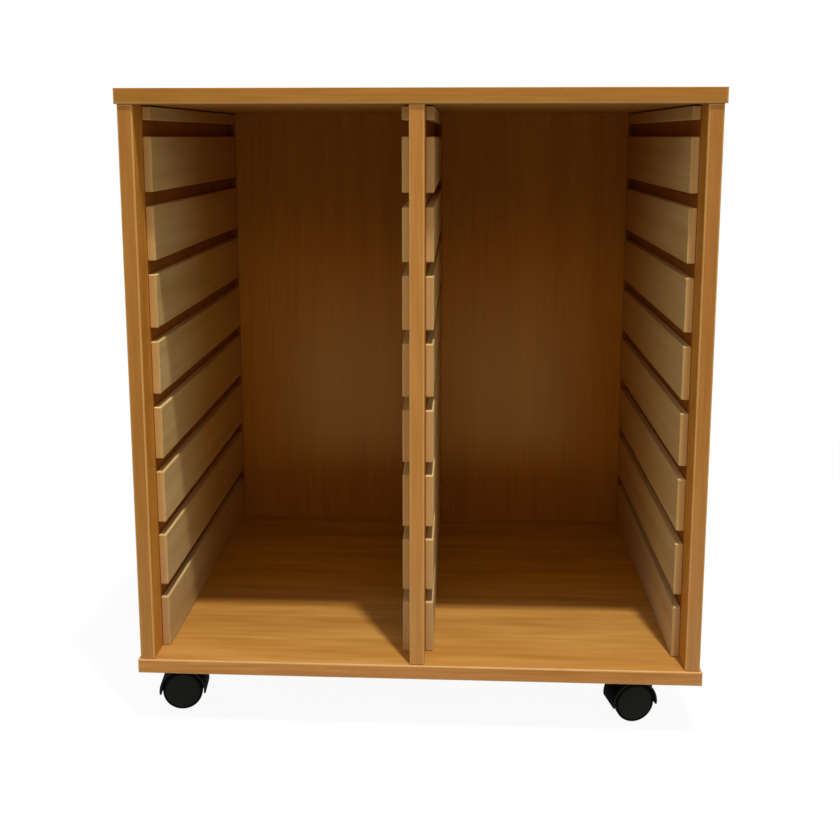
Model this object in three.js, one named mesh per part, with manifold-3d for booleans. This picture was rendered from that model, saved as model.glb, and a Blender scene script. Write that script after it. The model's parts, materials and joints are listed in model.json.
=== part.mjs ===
import * as THREE from "three";
import { mergeVertices } from "three/addons/utils/BufferGeometryUtils.js";
import Module from "manifold-3d";

// Classroom tray storage unit: two open columns of tray runners in a board carcass on four swivel castors.
// Sizes are in millimetres, +Z is up, the open front faces -Y and the floor is at Z = 0.

// Carcass boards
const BOARD = 18;
const COLUMN_WIDTH = 316;
const INNER_HEIGHT = 677.5;
const SIDE_DEPTH = 471;
const BACK_THICKNESS = 9;
const END_OVERHANG = 3;
const FRONT_OVERHANG = 2;
const BOARD_ROUNDING = 2;
const PLAN_CORNER = 3;

// Tray runners
const RUNNER_THICKNESS = 10;
const RUNNER_SETBACK = 33;
const RUNNER_ROUNDING = 1.6;
const RUNNER_END_ROUNDING = 1.2;
const RUNNERS_PER_WALL = 9;
const SLOT_HEIGHT = 16.8;
const TOP_SLOT_HEIGHT = 19.2;
const TOP_RUNNER_HEIGHT = 16;
const TOP_RUNNER_GAP = 1.5;

// Castors
const CASTOR_HEIGHT = 67;
const CASTOR_FROM_SIDE = 58;
const CASTOR_FROM_FRONT = 47;
const CASTOR_TRAIL = 17.5;
const CASTOR_WIDTH = 34;
const WHEEL_RADIUS = 25;
const WHEEL_INNER_FACE = 7.3;
const WHEEL_FACETS = 36;
const HOOD_RADIUS = 29.2;
const HOOD_WALL = 2.5;
const HOOD_END_ANGLE = THREE.MathUtils.degToRad(8);
const WEB_THICKNESS = 10;
const HUB_RADIUS = 8;
const HUB_CLEARANCE = 0.3;
const HUB_SLOPE = 1;
const WHEEL_SIDE_CLEARANCE = 0.2;
const WHEEL_TOP_CLEARANCE = 1.5;
const DISH_DEPTH = 1.5;
const TREAD_DEPTH = 5;
const TREAD_STEP = 0.3;
const TREAD_ROUNDING = 1.5;
const CAP_RISE = 1.4;
const CAP_INSET = 4;
const NECK_RADIUS = 11;
const NECK_FOOT = 34;
const NECK_TO_PLATE_GAP = 1;
const AXLE_RADIUS = 3;
const AXLE_CLEARANCE = 0.1;
const AXLE_END_COVER = 4.2;
const AXLE_END_CLEARANCE = 0.3;
const KINGPIN_RADIUS = 5;
const KINGPIN_CLEARANCE = 0.1;
const KINGPIN_FOOT = 39;
const KINGPIN_END_CLEARANCE = 1;
const PLATE_SIZE = 44;
const PLATE_THICKNESS = 2.5;
const PLATE_CORNER = 5;
const PLATE_HOLE_RADIUS = 2.3;
const PLATE_HOLE_FROM_AXIS = 16;

// Resting turn of each castor about its kingpin, in degrees
const FRONT_LEFT_TURN = 6.5;
const FRONT_RIGHT_TURN = 13.5;
const REAR_LEFT_TURN = 14;
const REAR_RIGHT_TURN = 5;

// Heights and planes that follow from the sizes above
const BASE_UNDERSIDE = CASTOR_HEIGHT;
const BASE_TOP = BASE_UNDERSIDE + BOARD;
const TOP_UNDERSIDE = BASE_TOP + INNER_HEIGHT;
const SIDE_INNER_X = BOARD / 2 + COLUMN_WIDTH;
const SIDE_OUTER_X = SIDE_INNER_X + BOARD;
const FRONT_Y = -SIDE_DEPTH / 2;
const REAR_Y = SIDE_DEPTH / 2;
const BACK_FACE_Y = REAR_Y - BACK_THICKNESS;
const PLATE_UNDERSIDE = CASTOR_HEIGHT - PLATE_THICKNESS;

// Colours
const BEECH = new THREE.MeshStandardMaterial({ color: "#b98a52", roughness: 0.5, metalness: 0 });
const BEECH_BACK = new THREE.MeshStandardMaterial({ color: "#a97840", roughness: 0.55, metalness: 0 });
const BIRCH = new THREE.MeshStandardMaterial({ color: "#dcc49c", roughness: 0.55, metalness: 0 });
const BLACK_NYLON = new THREE.MeshStandardMaterial({ color: "#23231f", roughness: 0.5, metalness: 0 });
const BLACK_WHEEL = new THREE.MeshStandardMaterial({ color: "#2c2c28", roughness: 0.45, metalness: 0 });
const ZINC_STEEL = new THREE.MeshStandardMaterial({ color: "#a9adb0", roughness: 0.35, metalness: 1 });

const wasm = await Module();
wasm.setup();

// Solid for joining and cutting, from a closed geometry
function solid(geometry) {
  const bare = geometry.index ? geometry.toNonIndexed() : geometry.clone();
  bare.deleteAttribute("normal");
  bare.deleteAttribute("uv");
  const merged = mergeVertices(bare, 1e-4);
  return new wasm.Manifold(
    new wasm.Mesh({
      numProp: 3,
      vertProperties: merged.attributes.position.array,
      triVerts: new Uint32Array(merged.index.array),
    }),
  );
}

// Geometry of a joined or cut solid
function geometryOf(body) {
  const mesh = body.getMesh();
  const geometry = new THREE.BufferGeometry();
  geometry.setAttribute("position", new THREE.BufferAttribute(new Float32Array(mesh.vertProperties), 3));
  geometry.setIndex(new THREE.BufferAttribute(new Uint32Array(mesh.triVerts), 1));
  geometry.computeVertexNormals();
  return geometry;
}

function join(geometries) {
  return geometries.map(solid).reduce((whole, next) => whole.add(next));
}

function cut(body, geometries) {
  return geometries.map(solid).reduce((left, tool) => left.subtract(tool), body);
}

// Rectangle with its own rounding at the front pair and the rear pair of corners
function roundedRectangle(width, depth, frontRadius, rearRadius) {
  const x = width / 2;
  const y = depth / 2;
  const shape = new THREE.Shape();
  shape.moveTo(-x + frontRadius, -y);
  shape.lineTo(x - frontRadius, -y);
  if (frontRadius > 0) shape.absarc(x - frontRadius, -y + frontRadius, frontRadius, -Math.PI / 2, 0);
  shape.lineTo(x, y - rearRadius);
  if (rearRadius > 0) shape.absarc(x - rearRadius, y - rearRadius, rearRadius, 0, Math.PI / 2);
  shape.lineTo(-x + rearRadius, y);
  if (rearRadius > 0) shape.absarc(-x + rearRadius, y - rearRadius, rearRadius, Math.PI / 2, Math.PI);
  shape.lineTo(-x, -y + frontRadius);
  if (frontRadius > 0) shape.absarc(-x + frontRadius, -y + frontRadius, frontRadius, Math.PI, 1.5 * Math.PI);
  return shape;
}

const unit = new THREE.Group();

function addMesh(parent, name, geometry, material) {
  const mesh = new THREE.Mesh(geometry, material.clone());
  mesh.name = name;
  parent.add(mesh);
  return mesh;
}

// Top and base boards, rounded along every edge
function addCapBoard(name, underside) {
  const width = 2 * (SIDE_OUTER_X + END_OVERHANG);
  const depth = SIDE_DEPTH + 2 * FRONT_OVERHANG;
  const geometry = new THREE.ExtrudeGeometry(roundedRectangle(width, depth, PLAN_CORNER, PLAN_CORNER), {
    depth: BOARD - 2 * BOARD_ROUNDING,
    curveSegments: 3,
    bevelEnabled: true,
    bevelThickness: BOARD_ROUNDING,
    bevelSize: BOARD_ROUNDING,
    bevelOffset: -BOARD_ROUNDING,
    bevelSegments: 4,
  });
  const mesh = addMesh(unit, name, geometry, BEECH);
  mesh.position.set(0, 0, underside + BOARD_ROUNDING);
}

addCapBoard("base_panel", BASE_UNDERSIDE);
addCapBoard("top_panel", TOP_UNDERSIDE);

// Upright boards, rounded along the two front edges
function addUpright(name, centreX, depth) {
  const geometry = new THREE.ExtrudeGeometry(roundedRectangle(BOARD, depth, BOARD_ROUNDING, 0), {
    depth: INNER_HEIGHT,
    curveSegments: 4,
    bevelEnabled: false,
  });
  const mesh = addMesh(unit, name, geometry, BEECH);
  mesh.position.set(centreX, FRONT_Y + depth / 2, BASE_TOP);
}

addUpright("left_side_panel", -(SIDE_INNER_X + BOARD / 2), SIDE_DEPTH);
addUpright("right_side_panel", SIDE_INNER_X + BOARD / 2, SIDE_DEPTH);
addUpright("centre_divider", 0, SIDE_DEPTH - BACK_THICKNESS);

// Back board, let in between the side boards behind the divider
const back = addMesh(
  unit,
  "back_panel",
  new THREE.BoxGeometry(2 * SIDE_INNER_X, BACK_THICKNESS, INNER_HEIGHT),
  BEECH_BACK,
);
back.position.set(0, BACK_FACE_Y + BACK_THICKNESS / 2, BASE_TOP + INNER_HEIGHT / 2);

// One runner strip: rounded section run from behind the front edge to the back board
function addRunner(name, centreX, foot, height) {
  const length = SIDE_DEPTH - BACK_THICKNESS - RUNNER_SETBACK;
  const section = roundedRectangle(RUNNER_THICKNESS, height, RUNNER_ROUNDING, RUNNER_ROUNDING);
  const geometry = new THREE.ExtrudeGeometry(section, {
    depth: length - 2 * RUNNER_END_ROUNDING,
    curveSegments: 2,
    bevelEnabled: true,
    bevelThickness: RUNNER_END_ROUNDING,
    bevelSize: RUNNER_END_ROUNDING,
    bevelOffset: -RUNNER_END_ROUNDING,
    bevelSegments: 1,
  });
  geometry.rotateX(Math.PI / 2);
  const mesh = addMesh(unit, name, geometry, BIRCH);
  mesh.position.set(centreX, BACK_FACE_Y - RUNNER_END_ROUNDING, foot + height / 2);
}

// Nine runners on each column wall, counted from the top one down
const wallOffset = BOARD / 2 + RUNNER_THICKNESS / 2;
const WALLS = [
  ["left_side_runner", -(SIDE_INNER_X - RUNNER_THICKNESS / 2)],
  ["divider_left_runner", -wallOffset],
  ["divider_right_runner", wallOffset],
  ["right_side_runner", SIDE_INNER_X - RUNNER_THICKNESS / 2],
];
const topRunnerFoot = TOP_UNDERSIDE - TOP_RUNNER_GAP - TOP_RUNNER_HEIGHT;
const wideRunners = RUNNERS_PER_WALL - 1;
const wideStack = topRunnerFoot - TOP_SLOT_HEIGHT - BASE_TOP;
const runnerPitch = (wideStack + SLOT_HEIGHT) / wideRunners;
const runnerHeight = runnerPitch - SLOT_HEIGHT;
for (const [wall, centreX] of WALLS) {
  addRunner(wall + "_1", centreX, topRunnerFoot, TOP_RUNNER_HEIGHT);
  for (let place = 2; place <= RUNNERS_PER_WALL; place += 1) {
    const foot = BASE_TOP + (RUNNERS_PER_WALL - place) * runnerPitch;
    addRunner(wall + "_" + place, centreX, foot, runnerHeight);
  }
}

// Upright cylinder between two heights at a distance along the trail
function upright(radius, foot, top, alongTrail, facets) {
  const geometry = new THREE.CylinderGeometry(radius, radius, top - foot, facets);
  geometry.rotateX(Math.PI / 2);
  geometry.translate(alongTrail, 0, (foot + top) / 2);
  return geometry;
}

// Cylinder along the axle between two distances from the castor's middle
function crossCylinder(radius, from, to, facets) {
  const geometry = new THREE.CylinderGeometry(radius, radius, to - from, facets);
  geometry.translate(CASTOR_TRAIL, (from + to) / 2, WHEEL_RADIUS);
  return geometry;
}

// Flat piece drawn across the trail and up, centred on the castor's middle
function slice(shape, thickness, curveSegments) {
  const geometry = new THREE.ExtrudeGeometry(shape, { depth: thickness, curveSegments, bevelEnabled: false });
  geometry.rotateX(Math.PI / 2);
  geometry.translate(CASTOR_TRAIL, thickness / 2, WHEEL_RADIUS);
  return geometry;
}

// Mounting plate with four screw holes and the kingpin riveted in its middle
function plateGeometry() {
  const outline = roundedRectangle(PLATE_SIZE, PLATE_SIZE, PLATE_CORNER, PLATE_CORNER);
  for (const x of [-PLATE_HOLE_FROM_AXIS, PLATE_HOLE_FROM_AXIS]) {
    for (const y of [-PLATE_HOLE_FROM_AXIS, PLATE_HOLE_FROM_AXIS]) {
      const hole = new THREE.Path();
      hole.absarc(x, y, PLATE_HOLE_RADIUS, 0, 2 * Math.PI, true);
      outline.holes.push(hole);
    }
  }
  const plate = new THREE.ExtrudeGeometry(outline, {
    depth: PLATE_THICKNESS,
    curveSegments: 6,
    bevelEnabled: false,
  });
  plate.translate(0, 0, PLATE_UNDERSIDE);
  const pin = upright(KINGPIN_RADIUS, KINGPIN_FOOT, CASTOR_HEIGHT - PLATE_THICKNESS / 2, 0, 32);
  return geometryOf(join([plate, pin]));
}

// Hood over both wheels with its middle web, neck and pressed-in axle
function hoodGeometry() {
  const inside = HOOD_RADIUS - HOOD_WALL;
  const arch = new THREE.Shape();
  arch.absarc(0, 0, HOOD_RADIUS, -HOOD_END_ANGLE, Math.PI + HOOD_END_ANGLE, false);
  arch.absarc(0, 0, inside, Math.PI + HOOD_END_ANGLE, -HOOD_END_ANGLE, true);
  const web = new THREE.Shape();
  web.absarc(0, 0, inside + HOOD_WALL / 2, 0, Math.PI, false);
  const neckTop = PLATE_UNDERSIDE - NECK_TO_PLATE_GAP;
  const hubReach = WHEEL_INNER_FACE - HUB_CLEARANCE;
  const body = join([
    slice(arch, CASTOR_WIDTH, 36),
    slice(web, WEB_THICKNESS, 36),
    upright(NECK_RADIUS, NECK_FOOT, neckTop, 0, 32),
    crossCylinder(HUB_RADIUS, -hubReach, hubReach, 28),
  ]);
  const wheelRoom = WHEEL_RADIUS + WHEEL_TOP_CLEARANCE;
  const roomStart = WHEEL_INNER_FACE - WHEEL_SIDE_CLEARANCE;
  const boreFoot = KINGPIN_FOOT - KINGPIN_END_CLEARANCE;
  const cleared = cut(body, [
    crossCylinder(wheelRoom, roomStart, CASTOR_WIDTH, 36),
    crossCylinder(wheelRoom, -CASTOR_WIDTH, -roomStart, 36),
    upright(KINGPIN_RADIUS + KINGPIN_CLEARANCE, boreFoot, CASTOR_HEIGHT, 0, 32),
  ]);
  const axleReach = CASTOR_WIDTH / 2 - AXLE_END_COVER - AXLE_END_CLEARANCE;
  return geometryOf(cleared.add(solid(crossCylinder(AXLE_RADIUS, -axleReach, axleReach, 24))));
}

// Wheel: blind-bored hub, dished inner face, rounded tread and a domed outer cap; side is 1 or -1
function wheelGeometry(side) {
  const outer = CASTOR_WIDTH / 2;
  const inner = WHEEL_INNER_FACE;
  const bore = AXLE_RADIUS + AXLE_CLEARANCE;
  const boreEnd = outer - AXLE_END_COVER;
  const rim = WHEEL_RADIUS;
  const profile = [
    [0, boreEnd],
    [bore, boreEnd],
    [bore, inner],
    [HUB_RADIUS, inner],
    [HUB_RADIUS + HUB_SLOPE, inner + DISH_DEPTH],
    [rim - TREAD_DEPTH, inner + DISH_DEPTH],
    [rim - TREAD_DEPTH, inner + TREAD_STEP],
    [rim - TREAD_ROUNDING, inner + TREAD_STEP],
    [rim, inner + TREAD_STEP + TREAD_ROUNDING],
    [rim, outer - CAP_RISE - TREAD_ROUNDING],
    [rim - TREAD_ROUNDING / 3, outer - CAP_RISE - TREAD_ROUNDING / 3],
    [rim - TREAD_ROUNDING, outer - CAP_RISE],
    [rim - CAP_INSET, outer - CAP_RISE],
    [rim - 2 * CAP_INSET, outer - CAP_RISE / 2],
    [0, outer],
  ];
  const points = profile.map(([radius, across]) => new THREE.Vector2(radius, side * across));
  if (side < 0) points.reverse();
  const geometry = new THREE.LatheGeometry(points, WHEEL_FACETS);
  geometry.translate(CASTOR_TRAIL, 0, WHEEL_RADIUS);
  return geometry;
}

// A castor: the plate stays square to the carcass, the rest is turned about the kingpin
function addCastor(name, sideSign, frontSign, turn) {
  const place = new THREE.Group();
  place.position.set(
    sideSign * (SIDE_OUTER_X - CASTOR_FROM_SIDE),
    frontSign * (REAR_Y - CASTOR_FROM_FRONT),
    0,
  );
  unit.add(place);
  addMesh(place, name + "_plate", plateGeometry(), ZINC_STEEL);
  const swivel = new THREE.Group();
  swivel.rotation.z = Math.PI + THREE.MathUtils.degToRad(turn);
  place.add(swivel);
  addMesh(swivel, name + "_hood", hoodGeometry(), BLACK_NYLON);
  addMesh(swivel, name + "_wheel_a", wheelGeometry(1), BLACK_WHEEL);
  addMesh(swivel, name + "_wheel_b", wheelGeometry(-1), BLACK_WHEEL);
}

addCastor("front_left_castor", -1, -1, FRONT_LEFT_TURN);
addCastor("front_right_castor", 1, -1, FRONT_RIGHT_TURN);
addCastor("rear_left_castor", -1, 1, REAR_LEFT_TURN);
addCastor("rear_right_castor", 1, 1, REAR_RIGHT_TURN);

export default unit;
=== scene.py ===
"""Dressed model of a two-column classroom tray unit: beech-faced boards, runners and hooded castors."""

import json
import math

import bmesh
import bpy
from mathutils import Matrix, Vector


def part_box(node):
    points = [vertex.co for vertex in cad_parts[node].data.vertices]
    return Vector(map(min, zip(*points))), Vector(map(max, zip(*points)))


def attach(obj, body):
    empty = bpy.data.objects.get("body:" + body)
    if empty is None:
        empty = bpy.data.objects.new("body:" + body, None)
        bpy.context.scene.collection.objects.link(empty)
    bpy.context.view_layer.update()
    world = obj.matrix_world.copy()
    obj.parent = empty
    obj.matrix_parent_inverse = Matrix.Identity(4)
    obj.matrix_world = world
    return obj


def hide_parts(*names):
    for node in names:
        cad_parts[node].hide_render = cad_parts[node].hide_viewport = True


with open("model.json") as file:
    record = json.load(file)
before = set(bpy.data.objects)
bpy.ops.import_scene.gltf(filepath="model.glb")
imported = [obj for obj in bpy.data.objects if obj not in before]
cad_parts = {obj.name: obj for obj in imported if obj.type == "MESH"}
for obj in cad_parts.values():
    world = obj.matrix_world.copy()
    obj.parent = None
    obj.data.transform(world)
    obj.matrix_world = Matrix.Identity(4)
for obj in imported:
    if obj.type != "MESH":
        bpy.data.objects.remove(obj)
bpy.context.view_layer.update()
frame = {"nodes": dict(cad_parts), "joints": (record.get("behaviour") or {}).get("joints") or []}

bl_info = {
    "name": "Classroom tray unit",
    "version": (1, 0, 0),
    "blender": (4, 5, 0),
    "location": "View3D > Sidebar > Tray unit",
    "description": "Dresses the tray unit's frame with boards, runners, castors and a studio stage",
    "category": "Object",
}

CARCASS = "carcass"
# Each board with its own tint of its edging, which is painted light: lighter and bluer where more and
# whiter light falls on a front, most on the base and the divider
UPRIGHTS = {
    "left_side_panel": (0.94, 0.93, 1.3),
    "right_side_panel": (0.98, 0.98, 1.6),
    "centre_divider": (1.16, 1.18, 1.9),
}
CAPS = {"top_panel": (0.95, 0.97, 1.25), "base_panel": (1.2, 1.22, 2.5)}
# Each column wall's runners with the depth at which the painted shade on their strips is fullest
WALLS = {
    "left_side_runner": 0.06,
    "divider_left_runner": 0.06,
    "divider_right_runner": 0.20,
    "right_side_runner": 0.20,
}
RUNNERS_PER_WALL = 9
CASTORS = ("front_left_castor", "front_right_castor", "rear_left_castor", "rear_right_castor")
PLATE_THICKNESS = 0.0025

# Axes of the unit
ACROSS, BACKWARD, UPWARD = range(3)
# Materials of a board's core, its long edging and the edging on its ends
CORE, EDGING, ENDS = range(3)
UNTINTED = (1.0, 1.0, 1.0)
# Distance below which two places are the same
SAME_PLACE = 1e-6
# A face looks along an axis when at least this part of its normal does
FACING = 0.9


def linear(hex_colour):
    """Linear red, green and blue of an sRGB hex colour."""
    channels = [int(hex_colour[i:i + 2], 16) / 255 for i in (1, 3, 5)]
    return tuple(c / 12.92 if c <= 0.04045 else ((c + 0.055) / 1.055) ** 2.4 for c in channels)


def length_prop(name, description, default):
    """A length in metres that a user may change."""
    return bpy.props.FloatProperty(
        name=name, description=description, default=default, min=0.0, precision=5, unit="LENGTH"
    )


def colour_prop(name, description, default):
    """A surface colour that a user may change, written as sRGB hex."""
    return bpy.props.FloatVectorProperty(
        name=name, description=description, default=linear(default), size=3, min=0.0, max=1.0,
        subtype="COLOR",
    )


def angle_prop(name, description, degrees):
    """An angle that a user may change, written in degrees."""
    return bpy.props.FloatProperty(
        name=name, description=description, default=math.radians(degrees), unit="ROTATION"
    )


def place_prop(name, description, default):
    """A place in the unit's frame that a user may change."""
    return bpy.props.FloatVectorProperty(
        name=name, description=description, default=default, size=3, subtype="TRANSLATION"
    )


class TrayUnitBoards(bpy.types.PropertyGroup):
    """Sizes and colours of the beech-faced boards."""

    edging: length_prop("Edging", "Thickness of the edging strip on a board's exposed edges", 0.002)
    rounding: length_prop("Rounding", "Radius of the edging's outer edges", 0.0019)
    joint: length_prop("Joint", "Softening where the edging meets the board", 0.00008)
    glue: length_prop("Glue line", "Gap between a board and its edging", 0.00002)
    light: colour_prop("Light grain", "Palest tone of the beech print", "#CC8D38")
    middle: colour_prop("Middle grain", "Main tone of the beech print", "#BF802E")
    dark: colour_prop("Dark grain", "Deepest tone of the beech print", "#B07224")
    pore: colour_prop("Pores", "Short dark flecks of the beech print", "#985B18")
    # The arris colour is a painted highlight along the rounded edges
    arris: colour_prop("Arris", "Paler line where the edging is scraped round", "#DEA35A")


class TrayUnitRunners(bpy.types.PropertyGroup):
    """Sizes and colours of the tray runners."""

    rounding: length_prop("Rounding", "Radius of a runner's edges", 0.0016)
    light: colour_prop("Light grain", "Palest tone of the runner strips", "#E0C185")
    middle: colour_prop("Middle grain", "Main tone of the runner strips", "#D7B576")
    dark: colour_prop("Dark grain", "Deepest tone of the runner strips", "#CBA868")


class TrayUnitCastors(bpy.types.PropertyGroup):
    """Sizes and colours of the castors."""

    width: length_prop("Width", "Width over both wheels", 0.034)
    wheel_start: length_prop("Wheel start", "From the castor's middle to the inner face of a wheel", 0.0073)
    hood_radius: length_prop("Hood radius", "Radius of the hood over the wheels", 0.0292)
    hood_end: angle_prop("Hood end", "How far the hood reaches below the axle", 8)
    wall: length_prop("Hood wall", "Thickness of the hood", 0.0025)
    rim: length_prop("Rim rounding", "Rounding of the hood's rim", 0.0007)
    hood: colour_prop("Hood", "Black of the hood", "#060605")
    tread: colour_prop("Tread", "Black of the wheels' running faces", "#080807")
    disc: colour_prop("Disc", "Black of the wheels' outer faces and the hood's rim", "#151511")
    dust: colour_prop("Dust", "Dusty grey on handled faces", "#1E1D19")
    steel: colour_prop("Plate", "Zinc-plated steel of the plates and screws", "#B4B8BA")
    screw_head: length_prop("Screw head", "Radius of a plate screw's head", 0.0038)


class TrayUnitStage(bpy.types.PropertyGroup):
    """Camera and light of the studio stage."""

    lens: bpy.props.FloatProperty(name="Lens", description="Focal length", default=41.571, unit="CAMERA")
    camera: place_prop("Camera", "Where the camera stands", (0.050827, -1.341567, 0.726725))
    tilt: angle_prop("Tilt", "How far the camera looks down", 8.2935)
    turn: angle_prop("Turn", "How far the camera looks left", 2.5093)
    shift: bpy.props.FloatVectorProperty(
        name="Shift", description="Shift of the frame across and up", default=(0.0015, -0.170), size=2
    )
    key: place_prop("Key light", "Where the overhead key light hangs", (0.53, -1.19, 4.97))
    key_power: bpy.props.FloatProperty(
        name="Key power", description="Power of the key light", default=178.0, unit="POWER"
    )
    sky: bpy.props.FloatVectorProperty(
        name="Sky", description="Strength of the studio light from the horizon to overhead",
        default=(0.0, 0.08, 1.75, 0.10, 0.10, 2.2), size=6,
    )
    floor: colour_prop("Floor", "Studio floor, which reads as white in the picture", "#A2A2A0")


class TrayUnitSettings(bpy.types.PropertyGroup):
    """All settings of the tray unit."""

    boards: bpy.props.PointerProperty(type=TrayUnitBoards, name="Boards", description="Beech-faced boards")
    runners: bpy.props.PointerProperty(type=TrayUnitRunners, name="Runners", description="Tray runners")
    castors: bpy.props.PointerProperty(type=TrayUnitCastors, name="Castors", description="Castors")
    stage: bpy.props.PointerProperty(type=TrayUnitStage, name="Stage", description="Camera and light")


def put(tree, kind, inputs=None, **settings):
    """Adds a node, sets its settings, and links or fills its inputs."""
    node = tree.nodes.new(kind)
    for key, value in settings.items():
        setattr(node, key, value)
    for key, value in (inputs or {}).items():
        if isinstance(value, bpy.types.NodeSocket):
            tree.links.new(value, node.inputs[key])
        else:
            node.inputs[key].default_value = value
    return node


def new_material(name):
    """A node material without a surface, its tree and the object coordinates in it."""
    material = bpy.data.materials.new(name)
    material.use_nodes = True
    tree = material.node_tree
    tree.nodes.clear()
    return material, tree, put(tree, "ShaderNodeTexCoord").outputs["Object"]


def tinted(colour, tint):
    """Colour multiplied by a tint, with the full alpha that a socket takes."""
    return (*(channel * part for channel, part in zip(colour, tint)), 1)


def wood_noise(tree, where, grain, length, width, detail):
    """Noise drawn out along the grain, with its streaks' length and width in metres."""
    scale = [1 / width] * 3
    scale[grain] = 1 / length
    placed = put(tree, "ShaderNodeMapping", {"Vector": where, "Scale": scale})
    noise = put(
        tree, "ShaderNodeTexNoise", {"Vector": placed.outputs[0], "Scale": 1.0, "Detail": detail}
    )
    return noise.outputs["Fac"]


def grain_colour(tree, bands, streaks, tones, share, spread):
    """Colour from dark over middle to light, by noise in bands and a share of noise in streaks."""
    tone = put(tree, "ShaderNodeMix", {"Factor": share, "A": bands, "B": streaks}, data_type="FLOAT")
    ramp = put(tree, "ShaderNodeValToRGB", {"Fac": tone.outputs["Result"]})
    dark, middle, light = tones
    stops = ramp.color_ramp.elements
    stops[0].position = 0.5 - spread
    stops[0].color = dark
    stops[1].position = 0.5 + spread
    stops[1].color = light
    stops.new(0.5).color = middle
    return ramp.outputs["Color"]


def tone_along(tree, where, colour, axis, stretch, tone):
    """Colour multiplied by a tone that comes in smoothly from the start to the end of a stretch."""
    start, end = stretch
    place = put(tree, "ShaderNodeSeparateXYZ", {"Vector": where}).outputs[axis]
    amount = put(
        tree, "ShaderNodeMapRange", {"Value": place, "From Min": start, "From Max": end},
        interpolation_type="SMOOTHSTEP",
    )
    mix = put(
        tree, "ShaderNodeMix", {"Factor": amount.outputs[0], "A": colour, "B": (*tone, 1)},
        data_type="RGBA", blend_type="MULTIPLY",
    )
    return mix.outputs["Result"]


def beech_melamine(
    name, grain, tones, tint=UNTINTED, contrast=1.0, gloss=0.12, painted_light_and_shade=None,
    streak=(0.080, 0.0035), pore=(0.014, 0.0012),
):
    """Beech-printed melamine: a matt foil, its print soft streaks and short dark pores along the grain.

    A streak and a pore have a length and a width. The painted light, where one is given, takes the tree,
    the coordinates and the colour, and returns a new colour with light or shade painted in.
    """
    material, tree, where = new_material("beech_melamine_" + name)

    def shade(colour):
        eased = (middle + (channel - middle) * contrast for channel, middle in zip(colour, tones.middle))
        return tinted(eased, tint)

    # Broad bands 30 mm wide; the pores are coarser than life so that they show
    bands = wood_noise(tree, where, grain, 0.50, 0.030, 3.0)
    streaks = wood_noise(tree, where, grain, *streak, 2.0)
    pores = wood_noise(tree, where, grain, *pore, 1.0)
    wood = [shade(tone) for tone in (tones.dark, tones.middle, tones.light)]
    plain = grain_colour(tree, bands, streaks, wood, share=0.5, spread=0.14)
    fleck = put(
        tree, "ShaderNodeMapRange",
        {"Value": pores, "From Min": 0.60, "From Max": 0.74, "To Min": 0.0, "To Max": 0.2},
    )
    flecked = put(
        tree, "ShaderNodeMix", {"Factor": fleck.outputs[0], "A": plain, "B": shade(tones.pore)},
        data_type="RGBA",
    )
    colour = flecked.outputs["Result"]
    # Painted light and shade go on over the print
    if painted_light_and_shade:
        colour = painted_light_and_shade(tree, where, colour)
    rough = put(
        tree, "ShaderNodeMapRange",
        {"Value": streaks, "From Min": 0.3, "From Max": 0.7, "To Min": 0.42, "To Max": 0.54},
    )
    bump = put(
        tree, "ShaderNodeBump", {"Strength": 0.1, "Distance": 0.0001, "Height": pores}, invert=True
    )
    surface = put(
        tree, "ShaderNodeBsdfPrincipled",
        {"Base Color": colour, "Roughness": rough.outputs[0], "IOR": 1.5, "Specular IOR Level": gloss,
         "Normal": bump.outputs[0]},
    )
    put(tree, "ShaderNodeOutputMaterial", {"Surface": surface.outputs[0]})
    return material


def column_wall_painted_shade(tree, where, colour):
    """Painted shade: a deeper tone between the runners of a column's wall, where shade falls in the slots.
    """
    runner_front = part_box("right_side_runner_1")[0].y
    fade = (runner_front - 0.003, runner_front + 0.004)
    return tone_along(tree, where, colour, "Y", fade, (0.53, 0.40, 0.35))


def column_floor_painted_shade(tree, where, colour):
    """Painted shade: a deeper tone towards the back of the columns' floor, where the top casts its shadow.
    """
    return tone_along(tree, where, colour, "Y", (-0.12, 0.02), (1.05, 0.84, 0.25))


def upright_foot_painted_light(tree, where, colour):
    """Painted light: a paler tone on the lower part of the uprights' edging, where light comes back off the
    floor.
    """
    return tone_along(tree, where, colour, "Z", (0.36, 0.12), (1.02, 1.10, 1.45))


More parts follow.
